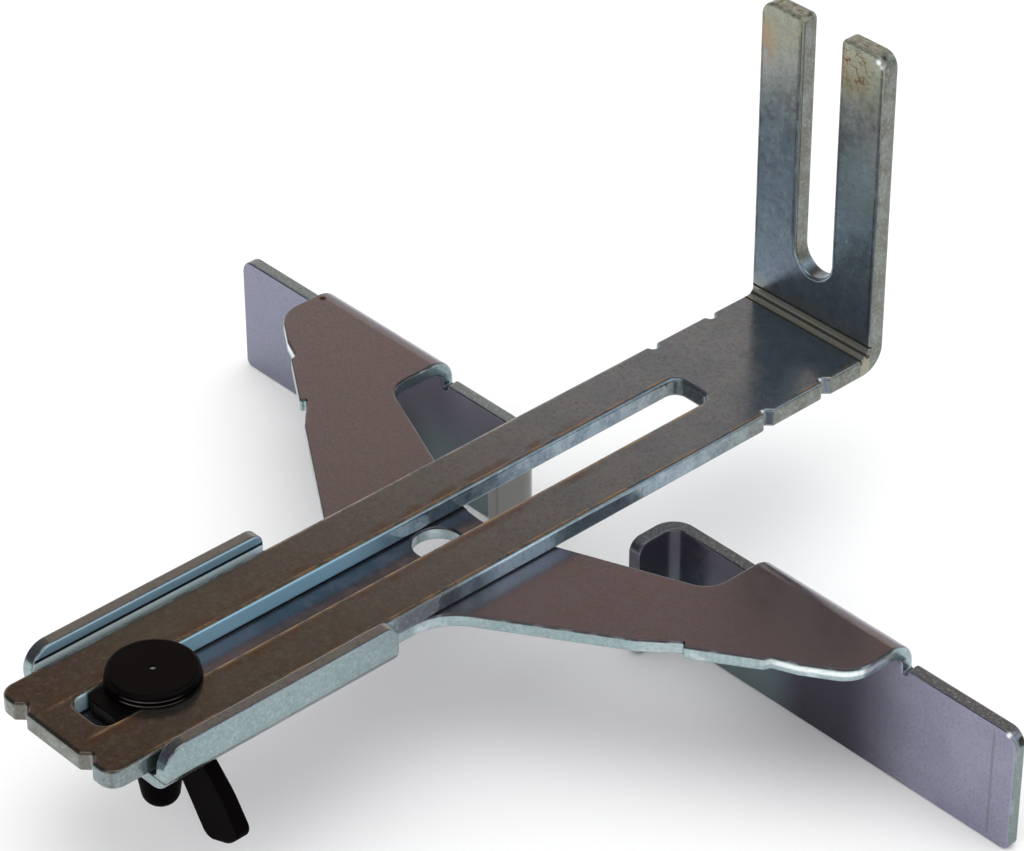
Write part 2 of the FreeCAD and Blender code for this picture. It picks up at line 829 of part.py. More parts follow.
def nut_wing(body, sheet, sign):
    side = "Left" if sign else "Right"
    sketch = new_sketch(body, side + "Wing", "XZ_Plane", "-clamp_y")
    corners = [
        ("0", "plate_height - vane_top"),
        ("vane_shoulder", "plate_height - vane_top"),
        ("vane_bulge", "plate_height - vane_bulge_drop"),
        ("vane_reach", "plate_height - vane_corner"),
        ("vane_heel", "plate_height - vane_heel_drop"),
        ("vane_toe", "plate_height - vane_drop"),
        ("vane_root", "plate_height - vane_root_drop"),
        ("0", "plate_height - vane_root_drop"),
    ]
    if sign:
        corners = [(f"-{x}" if x != "0" else x, z) for x, z in reversed(corners)]
    outline(sketch, sheet, corners)
    pad(body, sketch, "vane_thickness", middle=True)
    way = -1 if sign else 1

    def at(x, drop):
        x_at = size(sheet, x)
        z_at = size(sheet, f"plate_height - {drop}")

        def test(edge, mid):
            return along(edge, 1) and near(way * mid.x, x_at) and near(mid.z, z_at)

        return test

    fillet(body, side + "Shoulder", "5", at("vane_shoulder", "vane_top"))
    fillet(body, side + "Bulge", "20", at("vane_bulge", "vane_bulge_drop"))
    fillet(body, side + "Corner", "2.6", at("vane_reach", "vane_corner"))
    fillet(body, side + "Heel", "6", at("vane_heel", "vane_heel_drop"))
    fillet(body, side + "Toe", "3.4", at("vane_toe", "vane_drop"))
    fillet(body, side + "Root", "5", at("vane_root", "vane_root_drop"))


def nut_insert(doc, sheet):
    """The threaded bush moulded into the nut, drawn with a plain bore."""
    body = doc.addObject("PartDesign::Body", "NutInsert")
    sketch = new_sketch(body, "InsertRing", "XY_Plane", "nut_top")
    circle(sketch, sheet, ("0", "clamp_y"), "insert_diameter")
    circle(sketch, sheet, ("0", "clamp_y"), "bolt_diameter + 2 * thread_gap")
    pad(body, sketch, "insert_length", reverse=True)
    return body


# ------------------------------------------------------------------ output


def check(doc, parts):
    for thing in doc.Objects:
        if "Invalid" in thing.State or "Error" in thing.State:
            raise RuntimeError(f"{thing.Name} failed: {thing.State}")
    for piece in parts:
        shape = piece.Shape
        if shape.isNull() or not shape.isValid():
            raise RuntimeError(f"{piece.Label} has no valid shape")
        box = shape.BoundBox
        size_text = f"{box.XLength:.1f} x {box.YLength:.1f} x {box.ZLength:.1f}"
        print(f"{piece.Label}: {len(shape.Solids)} solid, {shape.Volume:.0f} mm3, {size_text}")


def write(parts):
    os.makedirs("parts", exist_ok=True)
    for piece in parts:
        piece.Shape.exportStep(os.path.join("parts", piece.Label + ".step"))


main()
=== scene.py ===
import bpy
import math
from mathutils import Matrix, Vector

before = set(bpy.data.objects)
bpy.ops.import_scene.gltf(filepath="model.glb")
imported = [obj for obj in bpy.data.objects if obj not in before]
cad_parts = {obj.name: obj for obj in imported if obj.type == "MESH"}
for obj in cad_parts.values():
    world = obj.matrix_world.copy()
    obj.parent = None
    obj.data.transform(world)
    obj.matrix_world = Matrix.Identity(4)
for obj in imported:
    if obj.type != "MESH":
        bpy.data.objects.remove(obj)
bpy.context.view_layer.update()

# The part's frame: x across the bar, y along it towards the fork, z up from the floor.
# Lengths are given in mm, and light and stage in metres.
MM = 0.001

# The bar: its slot's rounded lip, its sides' rounded lips and its bend's two creases.
SLOT_LIP = 6.9
RIGHT_LIP = 19.1
LEFT_LIP = -19.2
PRONG_LIP = 19.2
CREASE_Y = 110.9
CREASE_Z = 46.7
FORK_FACE = 113.6

# The sheet: the height, just below the plate's top, of the edge that the punch turned over, where a
# dark line of painted shade runs.
ROLLED_Z = 38.75

# The clamp: its place along the bar, its dimple's floor and the lips of its disc's groove.
CLAMP_Y = -90.9
DIMPLE_Z = 46.6
GROOVE_LIPS = (45.75, 44.75)

# the colours of painted highlights and of painted dark spots
PAINTED_GLINT_COLOUR = (0.95, 0.97, 1.0)
PAINTED_DARK = (0.03, 0.03, 0.03)
CLAMP_BLACK = (0.0020, 0.0012, 0.0015)
ZINC = (0.6, 0.6, 0.62)
BRASS = (0.8, 0.6, 0.28)


# ------------------------------------------------------------------ camera

SENSOR_MM = 36.0
LENS_MM = 144.985
CAMERA_AT_MM = (571.5, -507.4, 600.7)
CAMERA_TURN = 47.577  # degrees to the left of +Y
CAMERA_DOWN = 34.893  # degrees below the horizon
CAMERA_ROLL = -0.279


def turned(degrees, axis):
    return Matrix.Rotation(math.radians(degrees), 4, axis)


def make_camera():
    data = bpy.data.cameras.new("camera")
    data.sensor_width = SENSOR_MM
    data.lens = LENS_MM
    data.clip_start = 0.05
    data.clip_end = 20.0
    camera = bpy.data.objects.new("camera", data)
    place = Matrix.Translation(Vector(CAMERA_AT_MM) * MM)
    aim = turned(CAMERA_TURN, "Z") @ turned(90.0 - CAMERA_DOWN, "X")
    camera.matrix_world = place @ aim @ turned(CAMERA_ROLL, "Z")
    bpy.context.scene.collection.objects.link(camera)
    bpy.context.scene.camera = camera


# ------------------------------------------------------------------- nodes


class Tree:
    """A short way to write a node tree. A share is a value from 0 to 1."""

    def __init__(self, tree):
        self.tree = tree
        tree.nodes.clear()

    def add(self, kind, **settings):
        node = self.tree.nodes.new(kind)
        for key, value in settings.items():
            setattr(node, key, value)
        return node

    def put(self, socket, value):
        """Links an output to a socket, or gives the socket a plain value."""
        if hasattr(value, "is_output"):
            self.tree.links.new(value, socket)
        elif socket.type == "RGBA":
            socket.default_value = tuple(value[:3]) + (1,)
        else:
            socket.default_value = value

    def math(self, operation, a, b=0.0, c=None):
        node = self.add("ShaderNodeMath", operation=operation)
        self.put(node.inputs[0], a)
        self.put(node.inputs[1], b)
        if c is not None:
            self.put(node.inputs[2], c)
        return node.outputs[0]

    def all_of(self, *shares):
        """The product of the shares: 1 only where each of them is 1."""
        out = shares[0]
        for share in shares[1:]:
            out = self.math("MULTIPLY", out, share)
        return out

    def any_of(self, *shares):
        """The greatest of the shares."""
        out = shares[0]
        for share in shares[1:]:
            out = self.math("MAXIMUM", out, share)
        return out

    def ramp(self, value, low, high, start=0.0, end=1.0, shape="SMOOTHSTEP"):
        """A smooth step from start to end as the value goes from low to high."""
        node = self.add("ShaderNodeMapRange", interpolation_type=shape)
        self.put(node.inputs["Value"], value)
        self.put(node.inputs["From Min"], low)
        self.put(node.inputs["From Max"], high)
        self.put(node.inputs["To Min"], start)
        self.put(node.inputs["To Max"], end)
        return node.outputs["Result"]

    def mix(self, share, a, b):
        """Colour a where the share is 0, colour b where it is 1."""
        node = self.add("ShaderNodeMix", data_type="RGBA")
        self.put(node.inputs[0], share)
        self.put(node.inputs[6], a)
        self.put(node.inputs[7], b)
        return node.outputs[2]


class Surface(Tree):
    """A material, with its layers' usual shapes. All lengths are in mm."""

    def __init__(self, name):
        self.material = bpy.data.materials.new(name)
        self.material.use_nodes = True
        super().__init__(self.material.node_tree)
        self.shader = self.add("ShaderNodeBsdfPrincipled")
        out = self.add("ShaderNodeOutputMaterial")
        self.put(out.inputs["Surface"], self.shader.outputs[0])
        self.place = self.add("ShaderNodeTexCoord").outputs["Object"]
        self.x, self.y, self.z = self.axes(self.place)

    def set(self, name, value):
        self.put(self.shader.inputs[name], value)

    def axes(self, vector):
        split = self.add("ShaderNodeSeparateXYZ")
        self.put(split.inputs[0], vector)
        return split.outputs

    def step(self, value, low, high, start=0.0, end=1.0):
        """A ramp between two places along a coordinate."""
        return self.ramp(value, low * MM, high * MM, start, end)

    def span(self, value, low, high, soft):
        """1 between two places along a coordinate, with a soft step outside each."""
        rise = self.step(value, low - soft, low)
        return self.all_of(rise, self.step(value, high, high + soft, 1.0, 0.0))

    def band(self, value, centre, half, soft):
        """1 on a stripe round one place along a coordinate, 0 away from it."""
        away = self.math("ABSOLUTE", self.math("SUBTRACT", value, centre * MM))
        return self.step(away, half, half + soft, 1.0, 0.0)

    def spot(self, centre, radius, soft):
        """1 inside a small ball, 0 outside it."""
        apart = self.add("ShaderNodeVectorMath", operation="DISTANCE")
        self.put(apart.inputs[0], self.place)
        self.put(apart.inputs[1], tuple(c * MM for c in centre))
        return self.step(apart.outputs["Value"], radius, radius + soft, 1.0, 0.0)

    def noise(self, size, detail, rough, shift=0.0):
        """Noise with features of the given size."""
        scale = self.add("ShaderNodeMapping")
        self.put(scale.inputs["Vector"], self.place)
        self.put(scale.inputs["Scale"], (1 / (size * MM),) * 3)
        self.put(scale.inputs["Location"], (shift, shift * 0.7, shift * 1.3))
        node = self.add("ShaderNodeTexNoise")
        self.put(node.inputs["Vector"], scale.outputs[0])
        self.put(node.inputs["Scale"], 1.0)
        self.put(node.inputs["Detail"], detail)
        self.put(node.inputs["Roughness"], rough)
        return node.outputs["Fac"]

    def bump(self, height, depth, strength, under=None):
        node = self.add("ShaderNodeBump")
        self.put(node.inputs["Strength"], strength)
        self.put(node.inputs["Distance"], depth * MM)
        self.put(node.inputs["Height"], height)
        if under is not None:
            self.put(node.inputs["Normal"], under)
        return node.outputs[0]

    def paint(self, base, colour, *shares):
        """Lays a colour over the base where every share is 1."""
        return self.mix(self.all_of(*shares), base, colour)

    def mottle(self, base, size, dark, light, dark_share, light_share):
        """Fine darker and paler flecks, as on a tumbled and plated surface."""
        grain = self.noise(size, 4.0, 0.75, shift=1.0)
        base = self.paint(base, dark, self.ramp(grain, 0.50, 0.36, 0.0, dark_share))
        return self.paint(base, light, self.ramp(grain, 0.52, 0.66, 0.0, light_share))

    def tint_patches(self, base, green, violet, share):
        """Faint green and violet patches, the interference colours of a passivated film."""
        film = self.noise(2.6, 4.0, 0.65, shift=14.0)
        base = self.paint(base, green, self.ramp(film, 0.48, 0.36, 0.0, share))
        return self.paint(base, violet, self.ramp(film, 0.54, 0.66, 0.0, share))


class Plated(Surface):
    """Zinc-plated steel: a base colour, then one layer after another."""

    def __init__(self, name):
        super().__init__(name)
        normal = self.add("ShaderNodeNewGeometry").outputs["Normal"]
        self.nx, self.ny, self.nz = self.axes(normal)
        self.side = self.math("ABSOLUTE", self.x)
        self.up = self.ramp(self.nz, 0.6, 0.95)
        self.patch = self.noise(5.0, 3.0, 0.6, shift=8.0)
        self.pale = []

    def shine_less(self, share, amount=1.0):
        """Notes a place that scatters light instead of mirroring it: pale metal, and painted
        highlights and painted light.
        """
        self.pale.append(self.all_of(share, amount))

    def finish(self, base, roughness, metal, metal_lost, wave_size, wave_strength, grain_size):
        """Sets the shader. Waves 0.03 mm deep lie under a grain of 0.012 mm."""
        self.set("Base Color", base)
        pale = self.any_of(*self.pale)
        self.set("Metallic", self.math("MULTIPLY_ADD", pale, -metal_lost, metal))
        self.set("Roughness", roughness)
        waves = self.bump(self.noise(wave_size, 3.0, 0.5, shift=6.0), 0.03, wave_strength)
        grain = self.noise(grain_size, 4.0, 0.7)
        self.set("Normal", self.bump(grain, 0.012, 0.5, waves))

    def wear(self, low, high):
        """Roughness that varies from one place of wear to the next."""
        return self.ramp(self.noise(3.0, 4.0, 0.6, shift=2.0), 0.3, 0.7, low, high)


# --------------------------------------------------------------- slide bar


class BarZinc(Plated):
    """Tarnished: brown at the bar's front, blue-grey at the fork with painted reflections up it,
    scuffed in the bend.
    """

    def __init__(self):
        super().__init__("bar_zinc")
        self.flat = self.step(self.z, 60, 50)
        self.front_face = self.ramp(self.ny, -0.5, -0.8)
        self.walls = self.ramp(self.math("ABSOLUTE", self.nx), 0.6, 0.85)
        self.ragged = self.ramp(self.noise(7.0, 4.0, 0.7, shift=5.0), 0.38, 0.60)
        base = self.brown(self.fork_tones_and_painted_reflections())
        base = self.tint_patches(base, (0.19, 0.24, 0.20), (0.22, 0.17, 0.24), 0.35)
        base = self.mottle(base, 0.8, (0.07, 0.065, 0.06), (0.40, 0.37, 0.34), 0.32, 0.14)
        layers = (
            self.cut_walls,
            self.slot_walls,
            self.top_lines,
            self.prong_lines,
            self.bend_scuffs,
            self.creases,
            self.stains,
            self.prong_tips,
            self.painted_bar_glints,
        )
        for layer in layers:
            base = layer(base)
        rougher_fork = self.step(self.z, 47, 60, 0.0, 0.02)
        roughness = self.math("ADD", self.wear(0.17, 0.26), rougher_fork)
        look = {"metal": 0.88, "metal_lost": 0.55}
        self.finish(base, roughness, wave_size=5.5, wave_strength=0.22, grain_size=0.9, **look)

    def fork_tones_and_painted_reflections(self):
        """Blue-grey all over and yellowish at the prongs' tips, with painted reflections up the fork:
        paler bands, and a darker band on the right prong.
        """
        blotch = self.ramp(self.noise(14.0, 4.0, 0.6, shift=3.0), 0.35, 0.65)
        base = self.mix(blotch, (0.225, 0.300, 0.380), (0.265, 0.330, 0.400))
        right = self.step(self.x, 0, 6)
        # painted reflections: paler and darker bands up the fork
        rises = (
            ((0.33, 0.44, 0.48), self.step(self.z, 50, 70)),
            ((0.285, 0.38, 0.415), self.step(self.z, 66, 76)),
            ((0.22, 0.29, 0.31), self.all_of(right, self.span(self.z, 86, 98, 8))),
            ((0.31, 0.34, 0.33), self.step(self.z, 92, 108)),
            ((0.30, 0.31, 0.24), self.step(self.z, 108, 122)),
            ((0.36, 0.39, 0.31), self.all_of(self.step(self.z, 106, 116), right)),
        )
        for colour, share in rises:
            base = self.paint(base, colour, share)
        return base

    def brown(self, base):
        """The flat bar browns from the bend to its front end."""
        tarnish = self.step(self.y, 85, -70, 0.0, 0.92)
        base = self.paint(base, (0.138, 0.129, 0.098), self.flat, tarnish)
        front = self.step(self.y, -75, -112, 0.0, 0.6)
        return self.paint(base, (0.105, 0.078, 0.058), self.flat, front)

    def cut_walls(self, base):
        """Cut edges: brownish at the ends, bluish along the middle, with a painted pale highlight on
        the outer walls near the middle.
        """
        patch = self.ramp(self.patch, 0.35, 0.65)
        raw = self.mix(patch, (0.145, 0.150, 0.125), (0.195, 0.215, 0.200))
        blue = self.mix(patch, (0.20, 0.27, 0.33), (0.33, 0.41, 0.46))
        middle = self.all_of(self.step(self.y, -90, -70), self.step(self.y, 92, 42))
        raw = self.mix(self.all_of(middle, self.flat), raw, blue)
        right, front = self.step(self.x, 9, 14), self.step(self.y, -100, -110)
        raw = self.paint(raw, (0.19, 0.235, 0.24), right, front)
        outer = self.step(self.side, 19, 19.5)
        raw = self.paint(raw, (0.13, 0.145, 0.165), outer, self.span(self.y, -36, -22, 6))
        # a painted pale highlight on the outer walls near the middle
        painted_sheen = self.all_of(outer, self.span(self.y, -5, 6, 10), self.flat)
        raw = self.paint(raw, (0.50, 0.64, 0.74), painted_sheen)
        raw = self.mottle(raw, 1.0, (0.07, 0.07, 0.065), (0.55, 0.56, 0.54), 0.35, 0.25)
        front_end = self.all_of(self.ramp(self.ny, -0.6, -0.85), self.step(self.z, 45, 44))
        cut = self.any_of(self.walls, front_end)
        self.shine_less(self.all_of(painted_sheen, cut), 0.3)
        return self.mix(cut, base, raw)

    def slot_walls(self, base):
        """Inside the slot: painted light on the walls, blue behind the clamp and at the front end,
        and a painted highlight rising up the walls at the front end.
        """
        inner = self.all_of(self.walls, self.step(self.side, 6.7, 6.3), self.flat)
        behind, front = self.span(self.y, -78, -32, 26), self.step(self.y, -104, -105)
        painted_lit_wall = self.all_of(inner, self.any_of(behind, front))
        # painted light, blue, on the slot's walls
        base = self.paint(base, (0.27, 0.47, 0.60), painted_lit_wall)
        end, rise = self.step(self.y, -104.5, -106), self.step(self.z, 39.5, 43, 0.15, 1.0)
        painted_gleam = self.all_of(inner, end, rise)
        self.shine_less(painted_lit_wall)
        self.shine_less(painted_gleam)
        return self.paint(base, (0.42, 0.50, 0.52), painted_gleam)

    def top_lines(self, base):
        """Lines along the top edges of the slot and of the bar: gold lines, partly tarnish and partly
        a painted highlight, along the slot's and the right side's rounded lips, a painted pale
        highlight along the left lip, and a dark line beside the slot.
        """
        slot = self.all_of(self.band(self.side, SLOT_LIP, 0.15, 0.6), self.span(self.y, -110, 68, 6))
        right = self.all_of(self.band(self.x, RIGHT_LIP, 0.15, 0.6), self.span(self.y, -104, 110, 6))
        lines = self.all_of(self.any_of(slot, right), self.up, self.flat, self.ragged)
        # gold lines, partly tarnish and partly a painted highlight on the rounded lips
        base = self.paint(base, (0.50, 0.38, 0.24), lines, 0.75)
        left = self.all_of(self.band(self.x, LEFT_LIP, 0.15, 0.5), self.span(self.y, -104, 70, 6))
        # a painted pale highlight along the left lip
        base = self.paint(base, (0.48, 0.48, 0.44), left, self.up, self.ragged, 0.6)
        beside = self.all_of(self.band(self.side, 8.2, 0.3, 1.4), self.span(self.y, -110, 30, 25))
        return self.paint(base, (0.14, 0.08, 0.045), beside, self.up, self.ragged, 0.5)

    def prong_lines(self, base):
        """Broken dark lines along the prongs' edges."""
        upright = self.step(self.z, 47, 50)
        slot = self.all_of(self.band(self.side, SLOT_LIP, 0.2, 0.5), self.step(self.z, 64, 68))
        edge = self.any_of(slot, self.band(self.side, PRONG_LIP, 0.2, 0.5))
        broken = self.ramp(self.noise(4.0, 4.0, 0.7, shift=9.0), 0.36, 0.52, 0.15, 0.6)
        return self.paint(base, (0.08, 0.07, 0.06), edge, upright, self.front_face, broken)

    def bend_scuffs(self, base):
        """Scuffed metal between the two creases, and above the upper one."""
        between = self.span(self.y, CREASE_Y, FORK_FACE, 0.4)
        between = self.all_of(between, self.step(self.z, 47.0, 46.4))
        patchy = self.ramp(self.patch, 0.3, 0.6, 0.5, 0.9)
        base = self.paint(base, (0.30, 0.29, 0.22), between, patchy)
        self.shine_less(between, 0.4)
        above = self.all_of(self.step(self.z, 46.5, 47.2), self.step(self.z, 48.5, 52, 1.0, 0.0))
        patchy = self.ramp(self.patch, 0.3, 0.6, 0.3, 0.65)
        return self.paint(base, (0.34, 0.34, 0.29), above, self.front_face, patchy)

    def creases(self, base):
        """The folding blade's two creases as dark lines, and painted shade in the corner between
        them.
        """
        lower, upper = self.band(self.y, CREASE_Y, 0.2, 0.25), self.band(self.z, CREASE_Z, 0.2, 0.25)
        lines = self.any_of(lower, upper)
        lines = self.all_of(lines, self.span(self.y, 110, 114, 0.4), self.span(self.z, 43, 47.4, 0.2))
        # painted shade where the face tilts between the creases
        tilt = self.math("ABSOLUTE", self.math("ADD", self.ny, self.nz))
        corner = self.ramp(tilt, 0.25, 0.40, 1.0, 0.0)
        corner = self.all_of(corner, self.span(self.y, 111.6, FORK_FACE, 0.2))
        corner = self.all_of(corner, self.span(self.z, 44, 46, 0.2))
        return self.paint(base, (0.035, 0.028, 0.02), self.any_of(lines, corner), 0.8)

    def stains(self, base):
        """Rust near the prongs' tips: a soft patch on each, and thin squiggles on the right one."""
        rust = self.noise(3.0, 5.0, 0.7, shift=11.0)
        left = self.spot((-19.5, FORK_FACE, 116), 1.0, 8.0)
        left = self.all_of(left, self.ramp(rust, 0.40, 0.58, 0.1, 0.8))
        base = self.paint(base, (0.34, 0.23, 0.13), left, self.front_face)
        right = self.spot((10.5, FORK_FACE, 119.5), 2.0, 7.5)
        right = self.all_of(right, self.ramp(rust, 0.40, 0.58, 0.2, 0.7))
        base = self.paint(base, (0.33, 0.25, 0.15), right, self.front_face)
        contour = self.math("SUBTRACT", self.noise(3.4, 3.0, 0.6, shift=17.0), 0.5)
        squiggles = self.ramp(self.math("ABSOLUTE", contour), 0.035, 0.012)
        squiggles = self.all_of(self.spot((10.5, FORK_FACE, 120.5), 1.5, 6.5), squiggles)
        return self.paint(base, (0.13, 0.075, 0.045), squiggles, self.front_face)

    def prong_tips(self, base):
        """Coarse, sooty flecks on the sawn tops of the prongs."""
        tips = self.step(self.z, 125.3, 126)
        self.shine_less(tips, 0.8)
        tone = self.mottle((0.24, 0.25, 0.20), 1.6, (0.05, 0.04, 0.03), (0.5, 0.5, 0.45), 0.8, 0.4)
        return self.mix(tips, base, tone)

    def painted_bar_glints(self, base):
        """A painted dark spot with painted highlights beside it at a prong's corner, and painted
        highlights at two notch corners.
        """
        base = self.paint(base, PAINTED_DARK, self.spot((18.2, 115.0, 125.6), 0.2, 1.1))
        rims = (self.spot((17.9, 113.7, 125.0), 0.2, 0.9), self.spot((18.8, 114.1, 124.0), 0.1, 1.0))
        notches = (self.all_of(self.spot((18.2, y, 43.8), 0.1, 0.7), 0.7) for y in (78.6, 98.2))
        painted_glint_share = self.any_of(*rims, *notches)
        self.shine_less(painted_glint_share)
        return self.paint(base, PAINTED_GLINT_COLOUR, painted_glint_share)


# ------------------------------------------------------------ folded sheet


class SheetZinc(Plated):
    """Violet-grey plated sheet with paler cut edges; its top is browner."""

    def __init__(self):
        super().__init__("sheet_zinc")
        self.below = self.step(self.z, 36, 33)
        self.before_fold = self.step(self.y, 40, 38)
        self.blotch = self.noise(18.0, 4.0, 0.6, shift=4.0)
        base = self.tones()
        base = self.tint_patches(base, (0.22, 0.27, 0.27), (0.27, 0.21, 0.33), 0.3)
        base = self.mottle(base, 0.7, (0.10, 0.09, 0.10), (0.48, 0.46, 0.50), 0.26, 0.11)
        layers = (
            self.painted_blade_shade,
            self.cut_edges,
            self.blade_rims,
            self.painted_slot_shade,
            self.flange_inside,
            self.returns,
            self.marks,
        )
        for layer in layers:
            base = layer(base)
        look = {"metal": 0.9, "metal_lost": 0.6}
        roughness = self.wear(0.18, 0.27)
        self.finish(base, roughness, wave_size=7.0, wave_strength=0.3, grain_size=0.8, **look)

    def tones(self):
        """Violet-grey blades, darker on the left; browner wings and greenish flange tops."""
        blotch = self.ramp(self.blotch, 0.35, 0.65)
        base = self.mix(blotch, (0.265, 0.265, 0.360), (0.305, 0.305, 0.400))
        base = self.paint(base, (0.225, 0.235, 0.310), self.step(self.x, 0, -1))
        base = self.paint(base, (0.235, 0.220, 0.242), self.up, self.step(self.z, 36, 38, 0.0, 0.85))
        return self.paint(base, (0.290, 0.335, 0.345), self.up, self.step(self.z, 41, 43))

    def painted_blade_shade(self, base):
        """Painted shade darkens the blades' front faces towards the bar; their foot is painted
        greener and paler as a reflection.
        """
        ahead = self.all_of(self.below, self.ramp(self.ny, 0.6, 0.2))
        inwards = self.step(self.side, 106, 80, 0.0, 0.92)
        base = self.paint(base, (0.052, 0.048, 0.062), inwards, ahead)
        near_bar = self.step(self.side, 58, 44, 0.0, 0.8)
        base = self.paint(base, (0.125, 0.120, 0.150), near_bar, ahead)
        foot = self.all_of(self.step(self.side, 70, 56), self.step(self.z, 28, 6))
        return self.paint(base, (0.15, 0.20, 0.21), foot, ahead)

    def cut_edges(self, base):
        """Paler, greener cut edges with painted highlights along the wings' edges, under a dark line
        of painted shade where the punch turned the top edge over.
        """
        raw = self.mix(self.ramp(self.blotch, 0.4, 0.6), (0.28, 0.37, 0.385), (0.36, 0.45, 0.47))
        raw = self.paint(raw, (0.21, 0.28, 0.285), self.step(self.y, -40, -42, 0.0, 0.6))
        raw = self.paint(raw, (0.13, 0.16, 0.16), self.step(self.side, 130, 131.5, 0.0, 0.8))
        # painted highlights in pale patches along the wings' edges
        patchy = self.ramp(self.noise(9.0, 3.0, 0.6, shift=12.0), 0.52, 0.68, 0.0, 0.5)
        raw = self.paint(raw, (0.75, 0.84, 0.84), patchy, self.span(self.y, -34, 40, 4))
        # a painted highlight on each wing's rounded front corner
        painted_corner_highlight = self.all_of(self.span(self.side, 84, 97, 5), self.band(self.z, 37.6, 0.3, 0.6))
        raw = self.paint(raw, (0.95, 1.00, 1.00), painted_corner_highlight, self.before_fold, 0.8)
        raw = self.mottle(raw, 0.8, (0.14, 0.15, 0.15), (0.68, 0.73, 0.73), 0.28, 0.22)
        steep = self.ramp(self.math("ABSOLUTE", self.nz), 0.7, 0.45)
        plate = self.all_of(self.step(self.z, 34.5, 35.5), self.before_fold)
        ends = self.ramp(self.math("ABSOLUTE", self.nx), 0.7, 0.85)
        ends = self.all_of(ends, self.step(self.side, 30, 31))
        base = self.mix(self.any_of(self.all_of(steep, plate), ends), base, raw)
        # a dark line of painted shade along the edge that the punch turned over
        painted_roll_shade = self.all_of(self.band(self.z, ROLLED_Z, 0.12, 0.3), self.ramp(self.nz, 0.98, 0.9))
        broken = self.ramp(self.patch, 0.35, 0.5, 0.4, 0.85)
        return self.paint(base, (0.05, 0.045, 0.045), painted_roll_shade, self.before_fold, broken)

    def blade_rims(self, base):
        """The blades' top edges, darker on the right."""
        rim = self.all_of(self.up, self.step(self.z, 31.0, 31.3), self.step(self.z, 33.5, 33.2))
        tone = self.mix(self.step(self.x, -5, 5), (0.19, 0.225, 0.23), (0.115, 0.12, 0.125))
        tone = self.mottle(tone, 0.8, (0.06, 0.06, 0.06), (0.6, 0.65, 0.65), 0.4, 0.3)
        self.shine_less(rim, 0.8)
        return self.mix(rim, base, tone)

    def painted_slot_shade(self, base):
        """Painted shade on the plate under the bar's slot, cloudy and darker towards the rear."""
        middle, rearwards = self.step(self.side, 7.5, 6.5), self.step(self.y, -72, -50, 0.1, 0.75)
        strip = self.all_of(self.up, middle, rearwards)
        cloudy = self.ramp(self.patch, 0.32, 0.55, 0.35, 1.0)
        return self.paint(base, (0.09, 0.11, 0.14), strip, cloudy)

    def flange_inside(self, base):
        """Painted reflections inside the left guide flange: a pale blue face, and a bright band
        beside the bar under a dark line.
        """
        face = self.all_of(self.ramp(self.nx, 0.6, 0.9), self.span(self.x, -21.9, -21.4, 0.1))
        face = self.all_of(face, self.step(self.y, -40, -41))
        self.shine_less(face, 0.6)
        # painted reflections on the flange's inner face
        base = self.paint(base, (0.27, 0.43, 0.54), face, self.step(self.z, 42, 42.1))
        base = self.paint(base, (0.02, 0.02, 0.02), face, self.band(self.z, 44.3, 0.25, 0.25))
        bright = self.all_of(face, self.span(self.z, 41.5, 43.7, 0.3))
        self.shine_less(bright)
        return self.paint(base, (0.75, 0.90, 0.93), bright)

    def returns(self, base):
        """The faces of the blades' returns that look at the bar."""
        towards_bar = self.any_of(self.ramp(self.nx, 0.5, 0.8), self.ramp(self.ny, -0.5, -0.8))
        face = self.all_of(towards_bar, self.span(self.x, -26.3, -20, 0.2), self.below)
        self.shine_less(face)
        return self.paint(base, (0.20, 0.195, 0.185), face)

    def marks(self, base):
        """A faint line at the right blade's end, a painted dark spot and a painted highlight near its
        top corners, and a dark dot on the left wing.
        """
        line = self.all_of(self.band(self.x, 125.8, 0.1, 0.5), self.span(self.z, 3, 29, 2))
        front = self.ramp(self.ny, -0.8, -0.9)
        base = self.paint(base, (0.12, 0.12, 0.13), line, front, 0.4)
        # a painted dark spot at the right blade's end
        base = self.paint(base, PAINTED_DARK, self.spot((131.8, 44.6, 30.0), 0.8, 0.8))
        base = self.paint(base, (0.04, 0.02, 0.01), self.spot((-95.9, 38.9, 39.0), 0.4, 0.9))
        # a painted highlight at the right blade's top front corner
        painted_glint_share = self.spot((129.8, 42.4, 31.8), 0.1, 0.9)
        self.shine_less(painted_glint_share)
        return self.paint(base, PAINTED_GLINT_COLOUR, painted_glint_share)


# ------------------------------------------------------- clamp and its nut


def steel_material(name, colour):
    """Bare turned metal, for the bolt, the washer and the brass insert."""
    n = Surface(name)
    grain = n.noise(1.5, 4.0, 0.6)
    darker = tuple(c * 0.8 for c in colour)
    n.set("Base Color", n.mix(n.ramp(grain, 0.4, 0.7), colour, darker))
    n.set("Metallic", 1.0)
    n.set("Roughness", n.ramp(grain, 0.3, 0.7, 0.24, 0.36))
    n.set("Normal", n.bump(grain, 0.01, 0.5))
    return n.material


